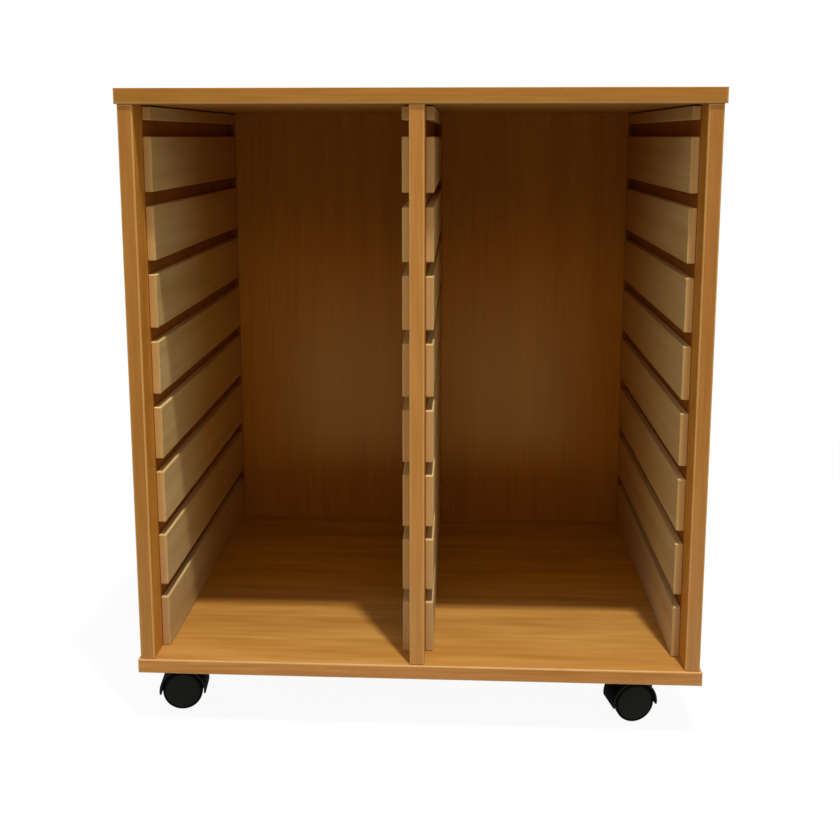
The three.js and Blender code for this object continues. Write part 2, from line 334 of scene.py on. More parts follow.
def column_back_painted_light_and_shade(tree, where, colour):
    """Painted shade behind the runners' ends and at the foot, and painted light in a paler zone within each
    column.
    """
    low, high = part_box("right_side_runner_1")
    runner = high.x - low.x
    outer_wall = high.x
    divider_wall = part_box("centre_divider")[1].x
    place = put(tree, "ShaderNodeSeparateXYZ", {"Vector": where}).outputs
    aside = put(tree, "ShaderNodeMath", {0: place["X"]}, operation="ABSOLUTE").outputs[0]

    def distance_aside(mark):
        gap = put(tree, "ShaderNodeMath", {0: aside, 1: mark}, operation="SUBTRACT").outputs[0]
        return put(tree, "ShaderNodeMath", {0: gap}, operation="ABSOLUTE").outputs[0]

    from_wall = put(
        tree, "ShaderNodeMath", {0: distance_aside(outer_wall), 1: distance_aside(divider_wall)},
        operation="MINIMUM",
    )
    # Painted shade in the corners behind the runners' ends
    behind_runner = put(
        tree, "ShaderNodeMapRange",
        {"Value": from_wall.outputs[0], "From Min": runner - 0.001, "From Max": runner + 0.002,
         "To Min": 1.0, "To Max": 0.0},
    )
    mix = put(
        tree, "ShaderNodeMix", {"Factor": behind_runner.outputs[0], "A": colour, "B": (0.5, 0.38, 0.3, 1)},
        data_type="RGBA", blend_type="MULTIPLY",
    )
    # Painted shade at the foot
    colour = tone_along(tree, where, mix.outputs["Result"], "Z", (0.23, 0.12), (0.86, 0.76, 0.6))

    # The painted light lies nearer to the divider than to the outer wall and fades out on all sides
    from_zone = distance_aside(0.37 * (outer_wall + divider_wall))
    amount = 0.38
    for value, start, end, before, after in (
        (place["Z"], 0.15, 0.26, 0.0, 1.0),
        (place["Z"], 0.30, 0.57, 1.0, 0.0),
        (from_zone, 0.03, 0.18, 1.0, 0.0),
    ):
        fade = put(
            tree, "ShaderNodeMapRange",
            {"Value": value, "From Min": start, "From Max": end, "To Min": before, "To Max": after},
            interpolation_type="SMOOTHSTEP",
        )
        amount = put(
            tree, "ShaderNodeMath", {0: amount, 1: fade.outputs[0]}, operation="MULTIPLY"
        ).outputs[0]
    paler = (*linear("#E7B86F"), 1)
    mix = put(tree, "ShaderNodeMix", {"Factor": amount, "A": colour, "B": paler}, data_type="RGBA")
    return mix.outputs["Result"]


def painted_highlight_edging(name, tones, tint=UNTINTED):
    """Edging scraped to a radius, with a paler line painted on the rounding as a highlight, and a smoother
    surface there.
    """
    material, tree, where = new_material("painted_highlight_edging_" + name)
    # The painted highlight is uneven, in patches 25 mm long
    patches = put(tree, "ShaderNodeTexNoise", {"Vector": where, "Scale": 1 / 0.025, "Detail": 2.0})
    amount = patches.outputs["Fac"]
    left = put(
        tree, "ShaderNodeMapRange",
        {"Value": amount, "From Min": 0.35, "From Max": 0.70, "To Min": 0.0, "To Max": 0.45},
    )
    colour = put(
        tree, "ShaderNodeMix",
        {"Factor": left.outputs[0], "A": tinted(tones.arris, tint), "B": tinted(tones.light, tint)},
        data_type="RGBA",
    )
    rough = put(
        tree, "ShaderNodeMapRange",
        {"Value": amount, "From Min": 0.3, "From Max": 0.7, "To Min": 0.34, "To Max": 0.46},
    )
    surface = put(
        tree, "ShaderNodeBsdfPrincipled",
        {"Base Color": colour.outputs["Result"], "Roughness": rough.outputs[0], "IOR": 1.5,
         "Specular IOR Level": 0.2},
    )
    put(tree, "ShaderNodeOutputMaterial", {"Surface": surface.outputs[0]})
    return material


def lacquered_birch(name, grain, tones, full_shade_depth, tint=UNTINTED):
    """Lacquered birch strip: pale, close-grained wood along the runner under a thin matt lacquer."""
    material, tree, where = new_material("lacquered_birch_" + name)
    # Growth bands 18 mm wide and fine grain lines 2.5 mm wide
    bands = wood_noise(tree, where, grain, 0.45, 0.018, 3.0)
    lines = wood_noise(tree, where, grain, 0.12, 0.0025, 3.0)
    wood = [tinted(tone, tint) for tone in (tones.dark, tones.middle, tones.light)]
    colour = grain_colour(tree, bands, lines, wood, share=0.4, spread=0.16)
    # Painted shade: the strips are deeper in tone towards the back of the columns and towards their foot
    colour = tone_along(tree, where, colour, "Y", (-0.16, full_shade_depth), (0.80, 0.58, 0.25))
    colour = tone_along(tree, where, colour, "Z", (0.27, 0.10), (0.86, 0.90, 1.05))
    rough = put(
        tree, "ShaderNodeMapRange",
        {"Value": lines, "From Min": 0.3, "From Max": 0.7, "To Min": 0.42, "To Max": 0.55},
    )
    bump = put(tree, "ShaderNodeBump", {"Strength": 0.1, "Distance": 0.0001, "Height": lines})
    surface = put(
        tree, "ShaderNodeBsdfPrincipled",
        {"Base Color": colour, "Roughness": rough.outputs[0], "IOR": 1.48, "Specular IOR Level": 0.15,
         "Normal": bump.outputs[0]},
    )
    put(tree, "ShaderNodeOutputMaterial", {"Surface": surface.outputs[0]})
    return material


def moulded_nylon(name, colour, dust_and_highlight, roughness, gloss):
    """Moulded black nylon: a fine spark-eroded grain from the mould, with dusty patches where handled."""
    material, tree, where = new_material("moulded_nylon_" + name)
    # Mould grain 0.7 mm across and dust patches 15 mm across
    grain = put(tree, "ShaderNodeTexNoise", {"Vector": where, "Scale": 1 / 0.0007, "Detail": 2.0})
    patches = put(tree, "ShaderNodeTexNoise", {"Vector": where, "Scale": 1 / 0.015, "Detail": 4.0})
    dust = patches.outputs["Fac"]
    dusty = put(
        tree, "ShaderNodeMapRange",
        {"Value": dust, "From Min": 0.45, "From Max": 0.75, "To Min": 0.0, "To Max": 0.7},
    )
    base = put(
        tree, "ShaderNodeMix", {"Factor": dusty.outputs[0], "A": (*colour, 1), "B": (*dust_and_highlight, 1)},
        data_type="RGBA",
    )
    rough = put(
        tree, "ShaderNodeMapRange",
        {"Value": dust, "From Min": 0.3, "From Max": 0.7, "To Min": roughness, "To Max": roughness + 0.12},
    )
    bump = put(
        tree, "ShaderNodeBump", {"Strength": 0.15, "Distance": 0.0001, "Height": grain.outputs["Fac"]}
    )
    surface = put(
        tree, "ShaderNodeBsdfPrincipled",
        {"Base Color": base.outputs["Result"], "Roughness": rough.outputs[0], "IOR": 1.53,
         "Specular IOR Level": gloss, "Normal": bump.outputs[0]},
    )
    put(tree, "ShaderNodeOutputMaterial", {"Surface": surface.outputs[0]})
    return material


def zinc_plated_steel(colour):
    """Zinc-plated pressed steel: cool grey metal with a faint cloudy passivation."""
    material, tree, where = new_material("zinc_plated_steel")
    # Passivation clouds 6 mm across
    clouds = put(tree, "ShaderNodeTexNoise", {"Vector": where, "Scale": 1 / 0.006, "Detail": 3.0})
    cloud = clouds.outputs["Fac"]
    rough = put(
        tree, "ShaderNodeMapRange",
        {"Value": cloud, "From Min": 0.3, "From Max": 0.7, "To Min": 0.28, "To Max": 0.45},
    )
    clear = put(
        tree, "ShaderNodeMapRange",
        {"Value": cloud, "From Min": 0.3, "From Max": 0.7, "To Min": 0.85, "To Max": 1.0},
    )
    cloudy = (*linear("#A0A2A2"), 1)
    base = put(
        tree, "ShaderNodeMix", {"Factor": clear.outputs[0], "A": cloudy, "B": (*colour, 1)},
        data_type="RGBA",
    )
    surface = put(
        tree, "ShaderNodeBsdfPrincipled",
        {"Base Color": base.outputs["Result"], "Metallic": 1.0, "Roughness": rough.outputs[0]},
    )
    put(tree, "ShaderNodeOutputMaterial", {"Surface": surface.outputs[0]})
    return material


def add_object(name, data):
    """Links a mesh, a lamp or a camera to the scene as an object at the origin."""
    obj = bpy.data.objects.new(name, data)
    bpy.context.scene.collection.objects.link(obj)
    return obj


def make_plain(obj):
    """Turns an object with modifiers into a plain mesh."""
    graph = bpy.context.evaluated_depsgraph_get()
    mesh = bpy.data.meshes.new_from_object(obj.evaluated_get(graph), depsgraph=graph)
    if not mesh.polygons:
        raise RuntimeError(obj.name + " came out empty")
    mesh.name = obj.name
    obj.modifiers.clear()
    obj.data = mesh


def round_edges(piece, width, segments, material=-1):
    """Rounds a piece's weighed edges, in one of its materials if that is given, and makes it plain."""
    bevel = piece.modifiers.new("rounding", "BEVEL")
    bevel.limit_method = "WEIGHT"
    bevel.width = width
    bevel.segments = segments
    bevel.harden_normals = True
    bevel.material = material
    make_plain(piece)


def outward_mesh(name, bm):
    """Mesh from a closed bmesh, with its faces turned outward."""
    bmesh.ops.recalc_face_normals(bm, faces=bm.faces)
    mesh = bpy.data.meshes.new(name)
    bm.to_mesh(mesh)
    bm.free()
    return mesh


def box_mesh(name, boxes):
    """Mesh of boxes, each given by two corners, a function that weighs an edge's bevel, and a material."""
    bm = bmesh.new()
    weight = bm.edges.layers.float.new("bevel_weight_edge")
    for low, high, weigh, material in boxes:
        verts = bmesh.ops.create_cube(bm, size=1.0)["verts"]
        for vert in verts:
            vert.co = [low[i] if vert.co[i] < 0 else high[i] for i in range(3)]
        for edge in {e for v in verts for e in v.link_edges}:
            edge[weight] = weigh(edge.verts[0].co, edge.verts[1].co)
        for face in {f for v in verts for f in v.link_faces}:
            face.material_index = material
            face.smooth = True
    return outward_mesh(name, bm)


def board_piece(name, boxes, rounding, materials):
    """One board from its core and edging strips; its rounded edges take the last material."""
    mesh = box_mesh(name, boxes)
    for material in materials:
        mesh.materials.append(material)
    piece = add_object(name, mesh)
    round_edges(piece, rounding, 5, len(materials) - 1)
    return piece


def repaint(mesh, material, chosen):
    """Gives one more material to the faces that chosen(face) picks."""
    mesh.materials.append(material)
    place = len(mesh.materials) - 1
    for face in mesh.polygons:
        if chosen(face):
            face.material_index = place


def edge_weights(settings, axis=None, outer=0.0):
    """Function that weighs a box's edges: round on its outer face, if it has one, and softened elsewhere.

    The uppermost arris of the unit is left sharper.
    """
    soft = settings.joint / settings.rounding
    sharper = 0.35
    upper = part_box("top_panel")[1].z

    def weigh(a, b):
        if axis is None or abs(a[axis] - outer) + abs(b[axis] - outer) > SAME_PLACE:
            return soft
        return sharper if abs(a.z - upper) + abs(b.z - upper) < SAME_PLACE else 1.0

    return weigh


class TRAYUNIT_OT_boards(bpy.types.Operator):
    """Dress the carcass boards with beech faces and edging strips"""

    bl_idname = "trayunit.boards"
    bl_label = "Boards"

    def execute(self, context):
        settings = context.scene.tray_unit.boards
        self.caps(settings)
        self.uprights(settings)
        self.back(settings)
        return {"FINISHED"}

    def caps(self, settings):
        """Top and base, with edging all round."""
        # The lying boards take a bluer copy of the print, which is painted light for the whiter light on
        # them
        tint = (0.90, 1.02, 1.7)
        lying = beech_melamine("lying_board", ACROSS, settings, tint, contrast=0.65)
        column_floor = beech_melamine(
            "column_floor", ACROSS, settings, tint, gloss=0.06, painted_light_and_shade=column_floor_painted_shade,
            streak=(0.15, 0.012), pore=(0.03, 0.002),
        )
        ends = beech_melamine("end_edging", BACKWARD, settings, contrast=0.7)
        # The arris material paints a highlight along the rounded edges, here in a tint for the lying boards
        arris = painted_highlight_edging("lying", settings, (0.87, 0.96, 1.2))
        edge = settings.edging
        inset = edge + settings.glue
        for node, edging_tint in CAPS.items():
            low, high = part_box(node)
            edging = beech_melamine(node + "_edging", ACROSS, settings, edging_tint, contrast=0.8)
            left, right = low.x, high.x
            front, rear = low.y, high.y
            under, upper = low.z, high.z
            boxes = [
                ((left + inset, front + inset, under), (right - inset, rear - inset, upper),
                 edge_weights(settings), CORE),
                (low, (right, front + edge, upper), edge_weights(settings, BACKWARD, front), EDGING),
                ((left, rear - edge, under), high, edge_weights(settings, BACKWARD, rear), EDGING),
                ((left, front + inset, under), (left + edge, rear - inset, upper),
                 edge_weights(settings, ACROSS, left), ENDS),
                ((right - edge, front + inset, under), (right, rear - inset, upper),
                 edge_weights(settings, ACROSS, right), ENDS),
            ]
            materials = (lying, edging, ends, arris)
            piece = board_piece("beech_" + node, boxes, settings.rounding, materials)
            # Index of the arris material, whose paler colour is a painted highlight
            dust_and_highlight = materials.index(arris)

            def on_floor(face):
                return face.material_index == CORE and face.normal.z > FACING

            def on_upper_arris(face):
                return face.material_index == dust_and_highlight and face.normal.z > 0.2

            if node == "base_panel":
                repaint(piece.data, column_floor, on_floor)
            else:
                # The uppermost arris gets no painted highlight
                repaint(piece.data, edging, on_upper_arris)
            self.settle(piece, node, "beech")

    def uprights(self, settings):
        """Sides and divider, with edging at the front."""
        outside = beech_melamine("upright_board", UPWARD, settings)
        # The wall into a column is a lighter copy of the board as painted light, with painted shade between
        # the runners
        inside = beech_melamine(
            "column_wall", UPWARD, settings, (1.15, 1.15, 1.2), painted_light_and_shade=column_wall_painted_shade
        )
        # The arris material paints a highlight along the rounded edges
        arris = painted_highlight_edging("upright", settings)
        edge = settings.edging
        inset = edge + settings.glue
        for node, tint in UPRIGHTS.items():
            low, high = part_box(node)
            # Each front's edging takes its tint and a paler foot, both painted light
            edging = beech_melamine(
                node + "_edging", UPWARD, settings, tint, contrast=0.6, painted_light_and_shade=upright_foot_painted_light
            )
            boxes = [
                ((low.x, low.y + inset, low.z), high, edge_weights(settings), CORE),
                (low, (high.x, low.y + edge, high.z), edge_weights(settings, BACKWARD, low.y), EDGING),
            ]
            piece = board_piece("beech_" + node, boxes, settings.rounding, (outside, edging, arris))
            side = low.x + high.x

            def faces_column(face):
                # The divider stands in the middle, and both of its faces look into a column
                across = face.normal.x
                return face.material_index == CORE and abs(across) > FACING and across * side < SAME_PLACE

            repaint(piece.data, inside, faces_column)
            self.settle(piece, node, "beech")

    def back(self, settings):
        """Thin back board, without edging."""
        outside = beech_melamine("back_board", UPWARD, settings, (0.93, 0.92, 0.88), contrast=0.7)
        # The back's face into the columns is a deeper copy of the board as painted shade, with painted
        # shade and light laid over it
        inside = beech_melamine(
            "column_back", UPWARD, settings, (0.89, 0.76, 0.55), contrast=0.55, gloss=0.05,
            painted_light_and_shade=column_back_painted_light_and_shade, pore=(0.03, 0.0018),
        )
        boxes = [(*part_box("back_panel"), edge_weights(settings), CORE)]
        piece = board_piece("beech_back_panel", boxes, settings.rounding, (outside,))
        repaint(piece.data, inside, lambda face: face.normal.y < -FACING)
        self.settle(piece, "back_panel", "beech_back")

    def settle(self, piece, node, slot):
        """Puts a finished board in its node's place."""
        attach(piece, CARCASS)
        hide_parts(node)


def new_tree(name, inputs, result):
    """A geometry nodes tree with named inputs and one result, and the sockets that give the inputs."""
    tree = bpy.data.node_groups.new(name, "GeometryNodeTree")
    tree.is_modifier = True
    for socket, kind in inputs.items():
        tree.interface.new_socket(socket, in_out="INPUT", socket_type="NodeSocket" + kind)
    tree.interface.new_socket(result, in_out="OUTPUT", socket_type="NodeSocketGeometry")
    return tree, put(tree, "NodeGroupInput").outputs


def end_tree(tree, points, shape, material):
    """Ends a tree with a real copy of the shape at every point, in one material."""
    copies = put(tree, "GeometryNodeInstanceOnPoints", {"Points": points, "Instance": shape})
    whole = put(tree, "GeometryNodeRealizeInstances", {"Geometry": copies.outputs[0]})
    painted = put(tree, "GeometryNodeSetMaterial", {"Geometry": whole.outputs[0], "Material": material})
    put(tree, "NodeGroupOutput", {0: painted.outputs[0]})


def set_inputs(modifier, values):
    """Sets a geometry nodes modifier's inputs through their identifiers."""
    for item in modifier.node_group.interface.items_tree:
        if item.name in values:
            modifier[item.identifier] = values[item.name]


def runner_rows_tree():
    """Geometry nodes that repeat one runner strip up a wall."""
    inputs = {"Strip": "Geometry", "Rows": "Int", "Pitch": "Float", "Wood": "Material"}
    tree, given = new_tree("Runner rows", inputs, "Rows of strips")
    step = put(tree, "ShaderNodeCombineXYZ", {"Z": given["Pitch"]})
    line = put(
        tree, "GeometryNodeMeshLine", {"Count": given["Rows"], "Offset": step.outputs[0]}, mode="OFFSET"
    )
    end_tree(tree, line.outputs[0], given["Strip"], given["Wood"])
    return tree


class TRAYUNIT_OT_runners(bpy.types.Operator):
    """Make the rows of pale runner strips on the four column walls"""

    bl_idname = "trayunit.runners"
    bl_label = "Runners"

    def execute(self, context):
        settings = context.scene.tray_unit.runners
        end_grain = lacquered_birch("end_grain", UPWARD, settings, full_shade_depth=0.2, tint=(1.03, 0.87, 0.74))
        tree = runner_rows_tree()
        for wall, full_shade_depth in WALLS.items():
            birch = lacquered_birch(wall, BACKWARD, settings, full_shade_depth)
            names = [f"{wall}_{place}" for place in range(1, RUNNERS_PER_WALL + 1)]
            for name, nodes in ((wall + "_strips", names[1:]), (wall + "_top_strip", names[:1])):
                piece = self.strips(name, nodes, tree, birch, settings.rounding)
                # End grain shows on a strip's ends and on the rounding next to them
                repaint(piece.data, end_grain, lambda face: abs(face.normal.y) > 0.8)
                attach(piece, CARCASS)
                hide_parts(*nodes)
        return {"FINISHED"}

    def strips(self, name, nodes, tree, birch, rounding):
        """Rows of strips for nodes that are listed from the top, made from the lowest."""
        low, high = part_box(nodes[-1])
        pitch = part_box(nodes[-2])[0].z - low.z if len(nodes) > 1 else 0.0
        mesh = box_mesh(name, [(low, high, lambda a, b: 1.0, 0)])
        mesh.materials.append(birch)
        piece = add_object(name, mesh)
        rows = piece.modifiers.new("rows", "NODES")
        rows.node_group = tree
        set_inputs(rows, {"Rows": len(nodes), "Pitch": pitch, "Wood": birch})
        round_edges(piece, rounding, 4)
        return piece


def drum(radius, start, end):
    """Profile of a plain drum between two places along its axis."""
    return [(0, start), (radius, start), (radius, end), (0, end)]


def turned_mesh(name, profile, steps, axis_at=(0.0, 0.0), lead=0.5):
    """Mesh turned about the across axis from a profile of (radius, across) points, from axis to axis.

    Its first edge leads by a share of a step, so that meshes to be cut or united share no edge.
    """
    bm = bmesh.new()
    rings = []
    for step in range(steps):
        angle = 2 * math.pi * (step + lead) / steps
        ring = []
        for radius, across in profile:
            x = axis_at[0] + radius * math.cos(angle)
            z = axis_at[1] + radius * math.sin(angle)
            ring.append(bm.verts.new((x, across, z)) if radius else None)
        rings.append(ring)
    poles = {
        i: bm.verts.new((axis_at[0], across, axis_at[1]))
        for i, (radius, across) in enumerate(profile) if radius == 0
    }
    for step in range(steps):
        here, there = rings[step], rings[(step + 1) % steps]
        for i in range(len(profile) - 1):
            corners = []
            for ring, j in ((here, i), (there, i), (there, i + 1), (here, i + 1)):
                vert = ring[j] or poles[j]
                if vert not in corners:
                    corners.append(vert)
            bm.faces.new(corners)
    return outward_mesh(name, bm)


def arch_mesh(name, axis_at, inside, outside, half_width, end_angle, rim):
    """Hood wall: a rounded section swept over the wheels, with softened ends."""
    middle = (inside + outside) / 2
    steps = 72
    sharpest = 1e-5
    first, last = -end_angle, math.pi + end_angle
    # Near an end: how far from it, and how much sharper the section's corners are, in shares of the rim
    ends = ((0.0, 1.0), (0.3, 0.3), (1.0, 0.0))
    stations = [(first + share * rim / middle, inset * rim) for share, inset in ends]
    stations += [(first + (last - first) * step / steps, 0.0) for step in range(1, steps)]
    stations += [(last - share * rim / middle, inset * rim) for share, inset in reversed(ends)]
    bm = bmesh.new()
    rings = []
    for angle, inset in stations:
        radius = max(rim - inset, sharpest)
        ring = []
        for sign_r, sign_a, start in ((1, 1, 0), (-1, 1, 90), (-1, -1, 180), (1, -1, 270)):
            centre_r = (outside if sign_r > 0 else inside) - sign_r * rim
            centre_a = sign_a * (half_width - rim)
            for degrees in range(start, start + 91, 30):
                turn = math.radians(degrees)
                away = centre_r + radius * math.cos(turn)
                across = centre_a + radius * math.sin(turn)
                x = axis_at[0] + away * math.cos(angle)
                z = axis_at[1] + away * math.sin(angle)
                ring.append(bm.verts.new((x, across, z)))
        rings.append(ring)
    count = len(rings[0])
    for here, there in zip(rings, rings[1:]):
        for i in range(count):
            j = (i + 1) % count
            bm.faces.new((here[i], here[j], there[j], there[i]))
    bm.faces.new(rings[0])
    bm.faces.new(rings[-1])
    return outward_mesh(name, bm)


def column_mesh(name, profile, steps):
    """Mesh turned about the upright axis from a profile of (radius, height) points."""
    mesh = turned_mesh(name, profile, steps)
    mesh.transform(Matrix.Rotation(math.pi / 2, 4, "X"))
    return mesh


def combine(name, base, joined, removed, added):
    """One closed mesh from a base, with meshes joined to it, then removed from it, then added last."""
    body = add_object(name, base)
    helpers = []
    for meshes, how in ((joined, "UNION"), (removed, "DIFFERENCE"), (added, "UNION")):
        for mesh in meshes:
            helper = add_object(name + "_helper", mesh)
            helpers.append(helper)
            step = body.modifiers.new(how, "BOOLEAN")
            step.operation = how
            step.solver = "EXACT"
            step.object = helper
    make_plain(body)
    mesh = body.data
    for helper in helpers + [body]:
        bpy.data.objects.remove(helper)
    return mesh


def smooth_by_angle(mesh, degrees):
    """Smooth shading with sharp edges kept where faces meet at more than the angle."""
    mesh.shade_smooth()
    mesh.set_sharp_from_angle(angle=math.radians(degrees))


def castor_place(castor):
    """Matrix from a castor's own frame (trail, across, up) to the unit's, its trail and wheel radius."""
    joints = {joint["name"]: joint for joint in frame["joints"]}
    pivot = Vector(joints[castor + "_turn"]["pos_m"])
    roll = joints[castor + "_roll_a"]
    axle = Vector(roll["pos_m"])
    across = Vector(roll["axis"]).normalized()
    offset = Vector((axle.x - pivot.x, axle.y - pivot.y, 0.0))
    matrix = Matrix((offset.normalized(), across, (0.0, 0.0, 1.0))).transposed().to_4x4()
    matrix.translation = (pivot.x, pivot.y, 0.0)
    return matrix, offset.length, axle.z


class TRAYUNIT_OT_castors(bpy.types.Operator):
    """Make the castors' moulded hoods and wheels and give their plates zinc-plated steel"""

    bl_idname = "trayunit.castors"
    bl_label = "Castors"

    def execute(self, context):
        settings = context.scene.tray_unit.castors
        hood_black = moulded_nylon("hood", settings.hood, settings.tread, roughness=0.60, gloss=0.015)
        tread_black = moulded_nylon("tread", settings.tread, settings.disc, roughness=0.55, gloss=0.03)
        disc_black = moulded_nylon("disc", settings.disc, settings.dust, roughness=0.46, gloss=0.08)
        steel = zinc_plated_steel(settings.steel)
        # Faces in the lighter disc black: the hood's outermost rim, as a painted highlight, and a wheel's
        # disc inside its tread
        rim_from = settings.width / 2 - 0.0012
        disc_from = settings.width / 2 - 0.002
        tread_depth = 0.003
        for castor in CASTORS:
            place, trail, radius = castor_place(castor)
            plate_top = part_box(castor + "_plate")[1].z
            hood = self.hood_mesh(castor + "_hood_shell", settings, trail, radius, plate_top)
            hood.materials.append(hood_black)
            # The hood's outermost rim is painted lighter as a highlight
            repaint(hood, disc_black, lambda face: abs(face.center.y) > rim_from)
            self.settle(castor + "_hood_shell", hood, place, castor + "_swivel", castor + "_hood", "hood")

            def on_disc(face):
                away = math.hypot(face.center.x - trail, face.center.z - radius)
                return away < radius - tread_depth and abs(face.center.y) > disc_from

            for side, sign in (("a", 1), ("b", -1)):
                body = f"{castor}_wheel_{side}"
                wheel = self.wheel_mesh(body + "_disc", settings, trail, radius, sign)
                wheel.materials.append(tread_black)
                repaint(wheel, disc_black, on_disc)
                self.settle(body + "_disc", wheel, place, body, body, "wheel")
            frame["nodes"][castor + "_plate"].material_slots[0].material = steel
        return {"FINISHED"}

    def settle(self, name, mesh, place, body, node, slot):
        """Puts a mesh in its castor's place, where it stands for a node."""
        mesh.transform(place)
        piece = add_object(name, mesh)
        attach(piece, body)
        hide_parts(node)

    def hood_mesh(self, name, settings, trail, radius, plate_top):
        """Hood in a castor's own frame: wall, web, neck round the kingpin, hub and axle."""
        axis_at = (trail, radius)
        half = settings.width / 2
        outside = settings.hood_radius
        inside = outside - settings.wall
        half_web = 0.005
        neck_radius, neck_low, neck_top = 0.011, 0.034, plate_top - PLATE_THICKNESS - 0.001
        lip = 0.0012
        bore_radius, bore_low, bore_top = 0.0051, 0.038, 0.08
        hub_radius, hub_half = 0.008, settings.wheel_start - 0.0003
        axle_radius, axle_half = 0.003, half - 0.0045
        # The rooms leave space for the wheels, and the block cuts the web off below the axle
        room_radius, room_start, room_end = radius + 0.0015, settings.wheel_start - 0.0002, 0.05
        block = 0.2

        arch = arch_mesh(name, axis_at, inside, outside, half, settings.hood_end, settings.rim)
        bm = bmesh.new()
        bmesh.ops.create_cube(bm, size=block, matrix=Matrix.Translation((trail, 0, radius - block / 2)))
        below = outward_mesh("below", bm)
        web = turned_mesh("web", drum(inside + settings.wall / 2, -half_web, half_web), 96, axis_at)
        web = combine("web", web, [], [below], [])
        neck_profile = [
            (0, neck_low), (neck_radius, neck_low), (neck_radius, neck_top - lip),
            (neck_radius - lip / 3, neck_top - lip / 3), (neck_radius - lip, neck_top), (0, neck_top),
        ]
        neck = column_mesh("neck", neck_profile, 64)
        hub = turned_mesh("hub", drum(hub_radius, -hub_half, hub_half), 64, axis_at)
        rooms = [
            turned_mesh("room", drum(room_radius, room_start, room_end), 96, axis_at),
            turned_mesh("room", drum(room_radius, -room_end, -room_start), 96, axis_at),
        ]
        bore = column_mesh("bore", drum(bore_radius, bore_low, bore_top), 48)
        axle = turned_mesh("axle", drum(axle_radius, -axle_half, axle_half), 32, axis_at)
        mesh = combine(name, arch, [web, neck, hub], rooms + [bore], [axle])
        smooth_by_angle(mesh, 32)
        return mesh

    def wheel_mesh(self, name, settings, trail, radius, sign):
        """Wheel in a castor's own frame: hub, hollow inner side, rounded tread, groove and domed disc."""
        outer = settings.width / 2
        inner = settings.wheel_start
        bore, bore_end = 0.0031, outer - 0.0042
        hub, hub_foot = 0.008, 0.009
        hollow, hollow_radius = inner + 0.0015, radius - 0.005
        bead = 0.0015
        tread_inner, tread_outer = inner + 0.0003, outer - 0.0014
        groove = outer - 0.0018
        dome_radius, dome_rise, dome_steps = radius - 0.0042, 0.0012, 8
        profile = [
            (0, bore_end), (bore, bore_end), (bore, inner), (hub, inner), (hub_foot, hollow),
            (hollow_radius, hollow), (hollow_radius, tread_inner),
        ]
        for start, middle in ((-90, tread_inner + bead), (0, tread_outer - bead)):
            for degrees in range(start, start + 91, 15):
                turn = math.radians(degrees)
                away = radius - bead + bead * math.cos(turn)
                profile.append((away, middle + bead * math.sin(turn)))
        # The groove between tread and disc: how far below the tread, and where across
        for depth, across in (
            (0.0026, tread_outer), (0.0029, groove), (0.0033, groove), (0.0036, outer - 0.0013)
        ):
            profile.append((radius - depth, across))
        for part in range(1, dome_steps + 1):
            share = 1 - part / dome_steps
            profile.append((dome_radius * share, outer - dome_rise * share * share))
        profile = [(round(away, 7), sign * across) for away, across in profile]
        mesh = turned_mesh(name, profile, 96, (trail, radius), lead=0.0)
        smooth_by_angle(mesh, 40)
        return mesh


def plate_screws_tree():
    """Geometry nodes that set one cross-recessed pan head at every point."""
    sizes = ("Head radius", "Head height", "Slot length", "Slot width", "Slot depth")
    inputs = {"Places": "Geometry", **dict.fromkeys(sizes, "Float"), "Steel": "Material"}
    tree, given = new_tree("Plate screws", inputs, "Screws")
    taper = 0.72
    narrow = put(tree, "ShaderNodeMath", {0: given["Head radius"], 1: taper}, operation="MULTIPLY")
    head = put(
        tree, "GeometryNodeMeshCone",
        {"Vertices": 28, "Side Segments": 1, "Radius Top": given["Head radius"],
         "Radius Bottom": narrow.outputs[0], "Depth": given["Head height"]},
    )
    cut = put(
        tree, "GeometryNodeMeshBoolean", {"Mesh 1": head.outputs[0]},
        operation="DIFFERENCE", solver="EXACT",
    )
    for x, y in (("Slot length", "Slot width"), ("Slot width", "Slot length")):
        size = put(tree, "ShaderNodeCombineXYZ", {"X": given[x], "Y": given[y], "Z": given["Slot depth"]})
        slot = put(tree, "GeometryNodeMeshCube", {"Size": size.outputs[0]})
        tree.links.new(slot.outputs[0], cut.inputs["Mesh 2"])
    end_tree(tree, given["Places"], cut.outputs[0], given["Steel"])
    return tree


class TRAYUNIT_OT_screws(bpy.types.Operator):
    """Set the screws that hold the castor plates under the base"""

    bl_idname = "trayunit.screws"
    bl_label = "Plate screws"

    def execute(self, context):
        settings = context.scene.tray_unit.castors
        height = 0.0022
        spread = 0.016
        points = []
        for castor in CASTORS:
            low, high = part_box(castor + "_plate")
            middle = (low + high) / 2
            head_end = high.z - PLATE_THICKNESS - height
            for x in (-spread, spread):
                for y in (-spread, spread):
                    points.append((middle.x + x, middle.y + y, head_end))
        mesh = bpy.data.meshes.new("castor_plate_screws")
        mesh.from_pydata(points, [], [])
        piece = add_object("castor_plate_screws", mesh)
        screws = piece.modifiers.new("screws", "NODES")
        screws.node_group = plate_screws_tree()
        set_inputs(screws, {
            "Head radius": settings.screw_head,
            "Head height": height,
            "Slot length": 0.0044,
            "Slot width": 0.0009,
            "Slot depth": 0.0024,
            "Steel": bpy.data.materials["zinc_plated_steel"],
        })
        make_plain(piece)
        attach(piece, CARCASS)
        return {"FINISHED"}


def picture_rays(tree):
    """One for the rays by which the picture, reflections and glass see the stage."""
    path = put(tree, "ShaderNodeLightPath").outputs
    direct = put(
        tree, "ShaderNodeMath", {0: path["Is Camera Ray"], 1: path["Is Glossy Ray"]}, operation="MAXIMUM"
    )
    seen = put(
        tree, "ShaderNodeMath", {0: direct.outputs[0], 1: path["Is Transmission Ray"]}, operation="MAXIMUM"
    )
    return seen.outputs[0]


